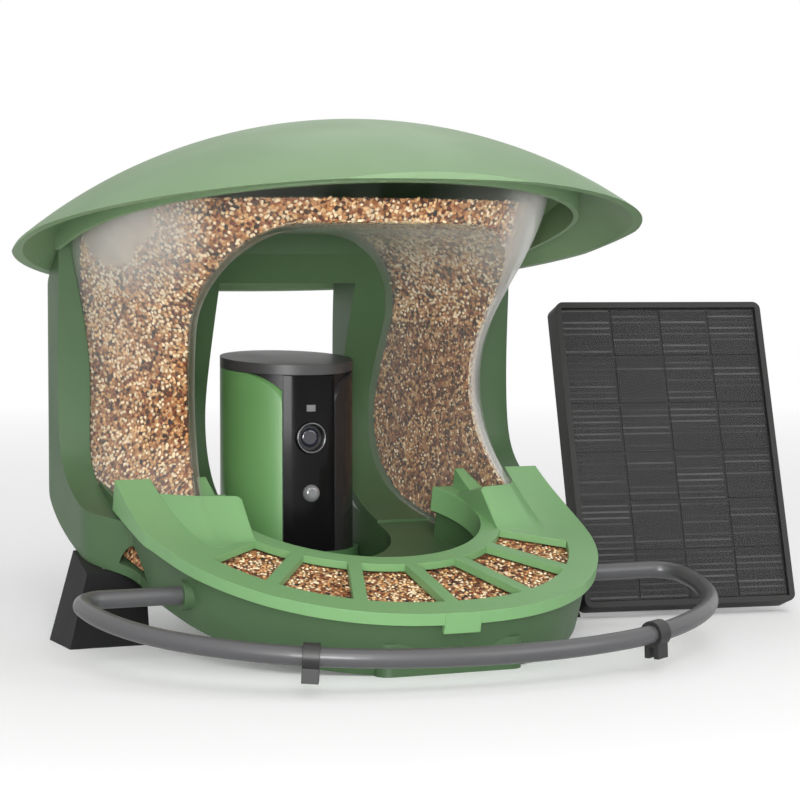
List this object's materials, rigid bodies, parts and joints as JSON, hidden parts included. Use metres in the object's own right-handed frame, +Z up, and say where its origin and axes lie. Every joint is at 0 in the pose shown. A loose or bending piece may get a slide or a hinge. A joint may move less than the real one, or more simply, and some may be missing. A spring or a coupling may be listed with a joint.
{
  "type": "smart bird feeder",
  "caption": "Tabletop bird feeder with an arched clear seed hopper, sloping tray, hinged domed roof, wrap-round perch, lift-out camera and a tilting solar panel on its own stand.",
  "frame": {"origin": "on the floor, on the axis of the pole socket at its mouth under the feeder", "axes": "+Z up, the feeder's front with its tray and perch towards -Y, +X to the right of the feeder seen from the front, towards the solar panel"},
  "size_m": [0.3986, 0.3096, 0.2414],
  "materials": {
    "body_green": "satin moulded plastic, mid green",
    "tray_green": "satin moulded plastic, mid green",
    "roof_green": "softly shining moulded plastic, sage green",
    "dock_green": "satin moulded plastic, dark green",
    "cover_green": "satin moulded plastic, green",
    "clear_plastic": "clear moulded polycarbonate",
    "seed": null,
    "steel": "stainless steel",
    "soft_seal": "soft dark seal",
    "perch_grey": "grey satin powder coat",
    "clip_black": "black moulded plastic",
    "foot_black": "black rubber-like plastic",
    "camera_black": "black moulded plastic",
    "camera_face": "glossy black acrylic",
    "cap_grey": "dark grey moulded plastic",
    "lens_metal": "turned and anodised",
    "lens_glass": "coated lens glass",
    "sensor_clear": "milky sensor dome",
    "status_clear": "pale light window",
    "board_green": "printed circuit board",
    "battery_blue": "wrapped cells",
    "button_rubber": "black soft rubber",
    "panel_black": "charcoal moulded plastic",
    "cell_dark": "dark silicon cells",
    "panel_glass": "clear cover sheet",
    "bracket_black": "black moulded plastic",
    "knob_black": "black grip rubber"
  },
  "bodies": {
    "feeder": {"housing": "body_green", "pole_sleeve": "steel", "seed_hopper": "clear_plastic", "seed_fill": "seed", "tray_seed_fill": "seed", "drain_mesh": "steel", "roof_hinge_pins": "steel", "perch_bar": "perch_grey", "perch_clips": "clip_black", "left_foot": "foot_black", "right_foot": "foot_black", "foot_screws": "steel", "camera_dock": "dock_green", "dock_screws": "steel", "panel_stand": "bracket_black", "panel_pivot_pin": "steel"},
    "roof_lid": {"roof": "roof_green", "roof_seal": "soft_seal"},
    "tray": {"tray_grid": "tray_green"},
    "camera": {"camera_core": "camera_black", "camera_front_glass": "camera_face", "camera_left_cover": "cover_green", "camera_right_cover": "cover_green", "camera_top_cap": "cap_grey", "lens_barrel": "camera_black", "lens_ring": "lens_metal", "lens_glass": "lens_glass", "sensor_dome": "sensor_clear", "status_window": "status_clear", "camera_board": "board_green", "camera_batteries": "battery_blue", "camera_speaker": "camera_black"},
    "button": {"power_button": "button_rubber"},
    "port_door": {"port_cover": "button_rubber"},
    "panel": {"panel_frame": "panel_black", "panel_back_cover": "panel_black", "panel_screws": "steel", "solar_cells": "cell_dark", "panel_glass": "panel_glass", "panel_bracket": "bracket_black", "bracket_lugs": "bracket_black", "bracket_screws": "steel"},
    "knob": {"panel_knob": "knob_black"}
  },
  "joints": [
    {"name": "roof_hinge", "type": "hinge", "parent": "feeder", "child": "roof_lid", "pos_m": [0, 0.139, 0.172], "axis": [-1, 0, 0], "range_deg": [0, 60]},
    {"name": "tray_lift", "type": "slide", "parent": "feeder", "child": "tray", "axis": [0, -0.2605, 0.9655], "range_m": [0, 0.012]},
    {"name": "camera_lift", "type": "slide", "parent": "feeder", "child": "camera", "axis": [0, 0, 1], "range_m": [0, 0.03]},
    {"name": "power_button_press", "type": "slide", "parent": "camera", "child": "button", "axis": [0, -1, 0], "range_m": [0, 0.001], "stiffness_N_per_m": 300},
    {"name": "port_cover_hinge", "type": "hinge", "parent": "camera", "child": "port_door", "pos_m": [0, 0.1328, 0.0518], "axis": [-1, 0, 0], "range_deg": [0, 90]},
    {"name": "panel_tilt", "type": "hinge", "parent": "feeder", "child": "panel", "pos_m": [0.19082, 0.06563, 0.05981], "axis": [-0.9877, 0.1564, 0], "range_deg": [0, 25]},
    {"name": "panel_knob_turn", "type": "hinge", "parent": "feeder", "child": "knob", "pos_m": [0.19082, 0.06563, 0.05981], "axis": [0.9877, -0.1564, 0], "range_deg": [-180, 180]}
  ]
}
